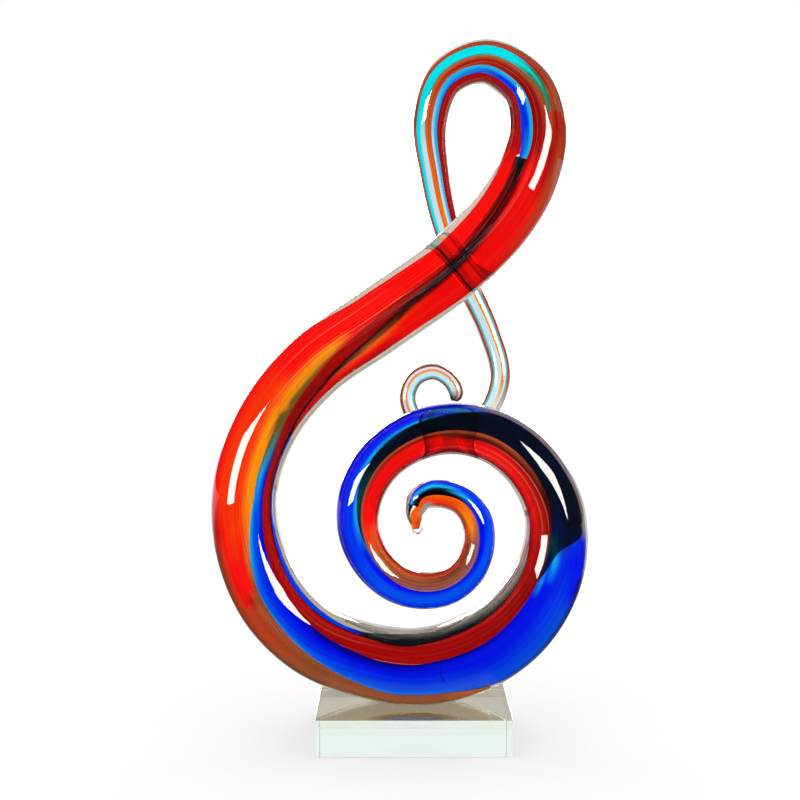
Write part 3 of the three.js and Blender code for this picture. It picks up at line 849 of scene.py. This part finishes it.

# Painted shade: a rosy grey strip in the clear rim along the top of the stem.
stem_rim_shade = strip(first=548, last=650, depth=0.65, top=OUTER_EDGE, bottom=OUTER_RIM, tones=[
    (548, {-0.9: RIM_SHADE_ROSY}),
])
red_outer = strip(first=328, last=STRIPS_END, depth=0.655, top=OUTER_RIM, bottom=OUTER_BOTTOM, tones=[
    (328, {-0.9: COPPER}),
    (345, {-0.9: BROWN}),
    (395, {-0.9: BROWN}),
    (412, {-0.9: RUST, -0.6: RUST, -0.4: BROWN}),
    (423, {-0.9: RUST, -0.5: RUST, -0.3: BROWN}),
    (427, {-0.9: RUST, -0.7: RUBY, -0.5: CRIMSON, -0.4: BROWN, -0.2: BROWN}),
    (432, {-0.9: RUST, -0.75: RUBY, -0.35: RUBY, -0.25: BROWN, -0.1: OLIVE}),
    (442, {-0.9: RUST, -0.7: RUBY, -0.3: RUBY, -0.15: COPPER, 0.05: OLIVE}),
    (455, {-0.9: CRIMSON, -0.7: RUBY, -0.45: SCARLET, -0.1: SCARLET, -0.02: ORANGE, 0.1: AMBER}),
    (470, {-0.9: RUBY, -0.7: SCARLET, -0.1: SCARLET, 0: ORANGE, 0.08: AMBER}),
    (495, {-0.9: RUBY, -0.7: SCARLET, -0.1: SCARLET, -0.02: ORANGE, 0.06: AMBER}),
    (505, {-0.9: RUBY, -0.6: SCARLET, -0.2: SCARLET, -0.06: ORANGE, 0.04: AMBER, 0.16: AMBER, 0.23: OLIVE}),
    (516, {-0.9: RUBY, -0.4: SCARLET, -0.08: ORANGE, 0.02: AMBER, 0.15: AMBER, 0.24: OLIVE}),
    (525, {-0.9: RUBY, -0.3: RUBY, -0.22: SCARLET, -0.12: ORANGE, 0: AMBER, 0.13: AMBER, 0.22: OLIVE}),
    (542, {-0.9: RUBY, -0.3: RUBY, -0.22: SCARLET, -0.12: AMBER, 0.05: AMBER, 0.1: RUST}),
    (553, {-0.9: RUBY}),
    (648, {-0.8: RUBY, -0.55: RUBY}),
    (662, {-0.9: CRIMSON, -0.75: CRIMSON, -0.55: CRIMSON}),
    (690, {-0.9: ROSE, -0.8: DEEP_RUBY, -0.6: CRIMSON}),
    (725, {-0.87: ROSE, -0.75: CRIMSON, -0.6: CRIMSON, -0.45: DEEP_RUBY}),
    (790, {-0.8: CRIMSON, -0.5: DEEP_RUBY}),
    (794, {-0.8: RUST}),
    (798, {-0.8: THIN_ROSE}),
    (820, {-0.8: THIN_ROSE}),
    (825, {-0.8: RUST}),
    (862, {-0.8: RUST}),
    (872, {-0.8: THIN_ROSE}),
    (898, {-0.8: THIN_ROSE}),
    (908, {-0.8: BROWN}),
    (951, {-0.8: BROWN}),
    (954, {-0.8: DARK_RUBY}),
])
red_outside = strips_mesh("red_outer_strip", red_outer, stem_rim_shade)
show("red_outer_strip", red_outside, RUBY_GLASS, "red_glass", "red_outer_band")

# The red tail strip starts low on the loop, beside the turquoise, and edges the outside of the
# tail and the curl. It is the same glass again, drawn so thin that it turns brown.
TURQUOISE_RIM = border([
    (677, 0.5), (681, 0.58), (690, 0.64), (700, 0.7), (710, 0.75), (740, 0.78), (790, 0.77), (826, 0.68),
    (860, 0.68), (900, 0.76), (950, 0.76),
])
TAIL_RIM = border([(677, 0.94), (720, 0.93), (790, 0.93), (826, 0.9), (860, 0.9), (950, 0.95)])

red_tail = strip(first=TAIL_START, last=STRIPS_END, depth=0.635, top=TURQUOISE_RIM, bottom=TAIL_RIM, tones=[
    (676, {0.5: RUST, 0.75: BROWN}),
    (690, {0.65: CRIMSON, 0.8: CRIMSON, 0.9: BROWN}),
    (720, {0.75: CRIMSON, 0.85: RUST}),
    (790, {0.8: RUST, 0.9: ROSE}),
    (794, {0.8: RUST}),
    (798, {0.8: THIN_ROSE}),
    (820, {0.8: THIN_ROSE}),
    (825, {0.7: RUST}),
    (951, {0.7: RUST}),
    (954, {0.7: DARK_RUBY}),
])
show("red_tail_strip", strips_mesh("red_tail_strip", red_tail), RUBY_GLASS, "red_glass", "red_tail_band")

# The spiral's blue strip is transparent cobalt glass on the outside of the spiral, from just behind
# the tip to the left sweep. Over the red strip the two together let no light through.
COBALT = (0.0, 0.04, 1.0)
AZURE = (0.0, 0.10, 1.0)
PALE_AZURE = (0.0, 0.21, 1.0)
BLUE = (0.0, 0.008, 1.0)
DEEP_COBALT = (0.0, 0.002, 0.72)
INDIGO = (0.0, 0.001, 0.28)
NAVY = (0.01, 0.04, 0.30)
SKY = (0.01, 0.50, 1.0)
TEAL = (0.04, 0.30, 0.34)
LAGOON = (0.0, 0.52, 0.62)
GREY = (0.26, 0.235, 0.25)
SMOKE = (0.14, 0.15, 0.12)
PALE_SMOKE = (0.42, 0.41, 0.36)
CLEAR = (1.0, 1.0, 1.0)
DRAWN_BLUE = (1.0, 0.3, 0.85, 1)
PALE_THREADS = (0.35, 0.7, 1.0, 1)
SPIRAL_RIM = np.maximum(OUTER_SEAM, border([
    (12, -0.78), (14, -0.7), (16, -0.67), (18, -0.74), (20, -0.94), (22, -0.97), (190, -0.97), (205, -0.94),
    (262, -0.94), (290, -0.97),
]))

blue_spiral = strip(first=12.5, last=512, depth=0.66, top=SPIRAL_RIM, bottom=SEAM, tones=[
    (13, {-0.9: DEEP_COBALT, -0.65: DEEP_COBALT, -0.55: SKY, -0.42: SKY, -0.34: INK}),
    (20, {-0.95: DEEP_COBALT, -0.72: COBALT, -0.62: SKY, -0.44: SKY, -0.36: INK}),
    (26, {-0.9: DEEP_COBALT, -0.7: COBALT, -0.6: SKY, -0.48: SKY, -0.4: INK}),
    (33, {-0.9: DEEP_COBALT, -0.7: COBALT, -0.5: AZURE, -0.38: SKY, -0.24: SKY, -0.15: NAVY}),
    (42, {-0.95: DEEP_COBALT, -0.85: AZURE, -0.65: COBALT, -0.5: BLUE, -0.15: DEEP_COBALT, -0.05: COBALT}),
    (56, {-0.95: DEEP_COBALT, -0.85: COBALT, -0.7: AZURE, -0.5: AZURE, -0.35: BLUE, -0.05: DEEP_COBALT}),
    (75, {-0.85: COBALT, -0.7: AZURE, -0.4: AZURE, -0.25: COBALT, -0.1: DEEP_COBALT}),
    (105, {-0.85: COBALT, -0.65: AZURE, -0.4: AZURE, -0.2: BLUE, 0: DEEP_COBALT}),
    (120, {-0.85: DEEP_COBALT, -0.6: COBALT, -0.2: COBALT, 0: DEEP_COBALT, 0.12: AZURE}),
    (140, {-0.85: DEEP_COBALT, -0.5: COBALT, -0.25: COBALT, -0.15: SKY}),
    (160, {-0.85: DEEP_COBALT, -0.7: BLUE, -0.5: COBALT, -0.38: SKY, -0.34: SKY, -0.29: NAVY}),
    (180, {-0.85: DEEP_COBALT, -0.7: BLUE, -0.58: COBALT, -0.5: SKY, -0.45: NAVY}),
    (198, {-0.9: DEEP_COBALT, -0.8: AZURE, -0.72: SKY, -0.66: NAVY}),
    (208, {-0.92: GREY, -0.85: GREY, -0.8: NAVY}),
    (250, {-0.92: GREY, -0.86: GREY, -0.8: NAVY}),
    (261, {-0.92: GREY, -0.86: GREY, -0.8: NAVY, -0.4: NAVY, -0.1: COBALT}),
    (266, {-0.9: DEEP_COBALT, -0.6: COBALT, -0.3: NAVY, -0.1: COBALT, 0: SKY}),
    (273, {-0.85: BLUE, -0.5: BLUE, -0.25: COBALT, -0.05: SKY, 0.05: COBALT}),
    (284, {-0.85: BLUE, -0.5: COBALT, -0.2: BLUE, 0.02: BLUE, 0.1: SKY, 0.17: AZURE}),
    (292, {-0.85: AZURE, -0.4: COBALT, -0.2: BLUE}),
    (330, {-0.8: AZURE, -0.5: COBALT, -0.3: BLUE, -0.05: BLUE, 0.05: INDIGO}),
    (362, {-0.73: PALE_AZURE, -0.66: AZURE, -0.45: COBALT, -0.25: BLUE, -0.1: DEEP_COBALT,
        -0.03: INDIGO, 0.04: INDIGO}),
    (385, {-0.54: PALE_AZURE, -0.47: AZURE, -0.3: COBALT, -0.1: BLUE, 0: DEEP_COBALT, 0.1: INDIGO,
        0.18: INDIGO}),
    (400, {-0.38: PALE_AZURE, -0.31: AZURE, -0.2: COBALT, 0: BLUE, 0.15: DEEP_COBALT, 0.24: INDIGO}),
    (430, {-0.19: PALE_AZURE, -0.1: AZURE, 0.02: COBALT, 0.2: BLUE}),
    (445, {-0.02: SKY, 0.12: AZURE, 0.33: DEEP_COBALT}),
    (462, {0.2: SKY, 0.3: AZURE, 0.42: AZURE, 0.52: DEEP_COBALT}),
    (480, {0.32: TEAL, 0.4: SKY, 0.5: AZURE, 0.56: DEEP_COBALT}),
    (492, {0.32: OLIVE, 0.42: TEAL, 0.5: TEAL, 0.56: NAVY}),
    (503, {0.3: OLIVE, 0.4: OLIVE}),
    (512, {0.3: OLIVE}),
])
COBALT_GLASS = strip_glass(
    "cobalt_glass", fineness=0.1, streak_colour=DRAWN_BLUE, streak_strength=0.5,
    thread_colour=PALE_THREADS, thread_strength=0)
FOLD_AT = 343
FOLD_BOW = 22
FOLD_GIRTH = 0.13
FOLD_DEPTH = 0.68
FOLD_BLUE = (0.0, 0.0, 0.10, 1)
FOLD_SIDES = 6
FOLD_STEPS = 30
FOLD_FROM = -0.55
FOLD_TO = 0.02


def fold_line():
    """A hair-thin fold that the hot glass kept where it was bent, dark across the blue."""
    shares = np.linspace(FOLD_FROM, FOLD_TO, FOLD_STEPS)
    middle = FOLD_AT - FOLD_BOW * (shares - (FOLD_FROM + FOLD_TO) / 2) ** 2
    turn = np.linspace(0, 2 * math.pi, FOLD_SIDES, endpoint=False)
    along = middle[:, None] + FOLD_GIRTH * np.cos(turn)
    spot = np.searchsorted(DISTANCE, along.ravel()) - 1
    depths = FOLD_DEPTH + FOLD_GIRTH * np.sin(turn) / RADIUS[spot[0]]
    angles = (VIEWER_TURN[spot[0]] + lens_turn(shares, FOLD_DEPTH))[:, None] + np.zeros(FOLD_SIDES)
    share = ((along.ravel() - DISTANCE[spot]) / STATION_SPACING)[:, None]
    depths = np.tile(depths, len(shares))[:, None]
    near = around(spot, angles.reshape(-1, 1), depths)[:, 0]
    far = around(spot + 1, angles.reshape(-1, 1), depths)[:, 0]
    rings = (near + (far - near) * share).reshape(len(shares), FOLD_SIDES, 3)
    return rings, np.tile(FOLD_BLUE, (len(shares), FOLD_SIDES, 1)), angles, along


TIP_LINE_TOP = -0.93
TIP_LINE_BOTTOM = border([(5, -0.8), (6, -0.75), (8, -0.6), (10, -0.4), (12, -0.27), (14, -0.27)])
tip_line = strip(first=5.5, last=13, depth=0.6, top=TIP_LINE_TOP, bottom=TIP_LINE_BOTTOM, tones=[
    (6, {-0.9: INK, -0.85: PALE_SMOKE, -0.8: INK}),
    (9, {-0.9: INK, -0.83: PALE_SMOKE, -0.77: CLEAR, -0.72: INK}),
    (13, {-0.9: SMOKE, -0.85: PALE_SMOKE, -0.78: INK}),
])
blue_outside = strips_mesh("blue_spiral_strip", blue_spiral, tip_line, fold_line())
show("blue_spiral_strip", blue_outside, COBALT_GLASS, "blue_glass", "blue_spiral_band")

# A second blue strip starts low on the ring as a dark line between red and clear glass. It follows the
# stem, nearly black over the red, and comes out bright blue on the inside of the loop. Beside its start,
# grey, rose and smoke tones are painted into the clear rim as painted shade.
PALE_BLUE = (0.62, 0.86, 0.95)
LAVENDER = (0.72, 0.76, 0.93)

RIM_SHADE_ROSY_DARK = (0.47, 0.31, 0.27)
RIM_SHADE_GREY = (0.52, 0.52, 0.46)
RIM_SHADE_BLUE = (0.27, 0.29, 0.36)
RIM_SHADE_PALE = (0.90, 0.85, 0.74)
RIM_SHADE_ROSE = (0.42, 0.27, 0.24)
RIM_SHADE_LIP_UNTIL = 366
RIM_SHADE_LIP = 0.84
RIM_SHADE_TOP = np.where(DISTANCE < RIM_SHADE_LIP_UNTIL, np.maximum(RED_RIM, RIM_SHADE_LIP), CENTRE_TOP)
RIM_SHADE_BOTTOM = 0.95

# Low on the ring, the rosy and smoke tones beyond this strip's dark line are painted shade in the clear rim.
stem_line = strip(first=240, last=LOOP_START, depth=0.57, top=RED_RIM, bottom=CENTRE_TOP, tones=[
    (240, {0.9: RIM_SHADE_ROSY_DARK}),
    (272, {0.8: RIM_SHADE_ROSY_DARK, 0.9: RIM_SHADE_ROSY_DARK}),
    (281, {0.75: SMOKE, 0.92: PALE_SMOKE}),
    (300, {0.63: INK, 0.75: SMOKE, 0.9: PALE_SMOKE}),
    (322, {0.6: INK, 0.68: INK, 0.8: SMOKE, 0.9: PALE_SMOKE}),
    (350, {0.56: INK, 0.7: INK, 0.8: SMOKE, 0.88: PALE_SMOKE}),
    (378, {0.6: INK}),
    (386, {0.65: COBALT}),
    (470, {0.8: COBALT}),
    (497, {0.8: COBALT}),
    (503, {0.7: INK}),
    (540, {0.52: INK, 0.57: DARK_RUBY}),
    (556, {0.35: INK, 0.42: BROWN}),
    (575, {0.15: INK, 0.25: DARK_RUBY}),
    (590, {0.05: INK, 0.12: DARK_RUBY}),
    (612, {-0.08: INK, 0.04: DARK_RUBY}),
    (638, {-0.31: INK, -0.26: DARK_RUBY, -0.2: DEEP_RUBY}),
    (650, {-0.35: INK, -0.25: INK}),
    (657, {-0.3: INK}),
])
# Painted shade: grey, rose and blue-grey tones in the clear rim on the hollow side of the ring and sweep.
ring_rim_shade = strip(first=250, last=500, depth=0.635, top=RIM_SHADE_TOP, bottom=RIM_SHADE_BOTTOM, tones=[
    (250, {0.9: RIM_SHADE_ROSE}),
    (294, {0.9: RIM_SHADE_ROSE}),
    (310, {0.88: RIM_SHADE_ROSE, 0.93: RIM_SHADE_ROSY}),
    (324, {0.88: RIM_SHADE_PALE, 0.92: RIM_SHADE_GREY}),
    (345, {0.86: RIM_SHADE_GREY, 0.93: RIM_SHADE_PALE}),
    (360, {0.85: CLEAR}),
    (372, {0.8: PALE_SMOKE, 0.92: CLEAR}),
    (384, {0.8: RIM_SHADE_GREY, 0.93: RIM_SHADE_GREY}),
    (440, {0.93: RIM_SHADE_GREY}),
    (458, {0.93: RIM_SHADE_BLUE}),
    (472, {0.93: RIM_SHADE_BLUE}),
    (478, {0.93: RIM_SHADE_PALE}),
    (500, {0.93: RIM_SHADE_PALE}),
])
blue_loop = strip(first=LOOP_START, last=STRIPS_END, depth=0.64, top=LOOP_TOP, bottom=CENTRE_TOP, tones=[
    (657, {-0.4: COBALT, -0.25: SKY}),
    (672, {-0.5: COBALT, -0.4: DEEP_COBALT, -0.32: COBALT, -0.27: SKY}),
    (700, {-0.5: COBALT, -0.4: DEEP_COBALT, -0.36: COBALT, -0.29: SKY}),
    (730, {-0.4: AZURE, -0.3: SKY, -0.2: SKY}),
    (755, {-0.4: SKY, -0.3: SKY, -0.2: PALE_BLUE}),
    (790, {-0.42: SKY, -0.33: PALE_BLUE}),
    (800, {-0.58: LAGOON, -0.5: PALE_BLUE, -0.4: CLEAR}),
    (826, {-0.62: LAGOON, -0.54: PALE_BLUE, -0.45: CLEAR}),
    (860, {-0.64: LAGOON, -0.56: PALE_BLUE, -0.45: CLEAR}),
    (890, {-0.6: LAVENDER, -0.42: LAVENDER}),
    (951, {-0.6: LAVENDER, -0.42: LAVENDER}),
    (954, {-0.6: SMOKE, -0.42: INK}),
])
SKY_GLASS = strip_glass(
    "sky_glass", fineness=0.12, streak_colour=DRAWN_BLUE, streak_strength=0.15,
    thread_colour=PALE_THREADS, thread_strength=0.3)
blue_middle = strips_mesh("blue_stem_strip", stem_line, ring_rim_shade, blue_loop)
show("blue_stem_strip", blue_middle, SKY_GLASS, "blue_glass", "blue_stem_band")

# The tail's blue strip is turquoise. It starts green where it meets the red low on the loop, goes
# over the outside of the loop, and pales down the tail and into the curl, where it is thinnest.
GREEN = (0.01, 0.24, 0.10)
TURQUOISE = (0.0, 0.86, 0.95)

blue_tail = strip(
    first=TAIL_START, last=STRIPS_END, depth=0.64, top=CENTRE_BOTTOM, bottom=TURQUOISE_RIM, tones=[
    (676, {0.38: BROWN, 0.46: GREEN}),
    (683, {0.36: BROWN, 0.43: GREEN, 0.6: GREEN}),
    (691, {0.34: GREEN, 0.45: GREEN, 0.53: TURQUOISE, 0.58: GREEN, 0.66: GREEN}),
    (700, {0.32: GREEN, 0.4: TURQUOISE, 0.66: TURQUOISE}),
    (742, {0.3: GREEN, 0.35: TURQUOISE, 0.7: TURQUOISE}),
    (755, {0.3: PALE_BLUE, 0.48: PALE_BLUE, 0.6: TURQUOISE}),
    (790, {0.2: PALE_BLUE, 0.5: PALE_BLUE, 0.62: TURQUOISE}),
    (826, {0: PALE_BLUE, 0.48: PALE_BLUE, 0.58: LAGOON}),
    (860, {-0.1: PALE_BLUE, 0.48: PALE_BLUE, 0.58: LAGOON}),
    (900, {-0.1: PALE_BLUE, 0.52: PALE_BLUE, 0.62: LAGOON}),
    (950, {-0.1: PALE_BLUE, 0.52: PALE_BLUE, 0.62: LAGOON}),
    (954, {-0.1: SMOKE, 0.4: INK, 0.58: INK}),
])
show("blue_tail_strip", strips_mesh("blue_tail_strip", blue_tail), SKY_GLASS, "blue_glass", "blue_tail_band")
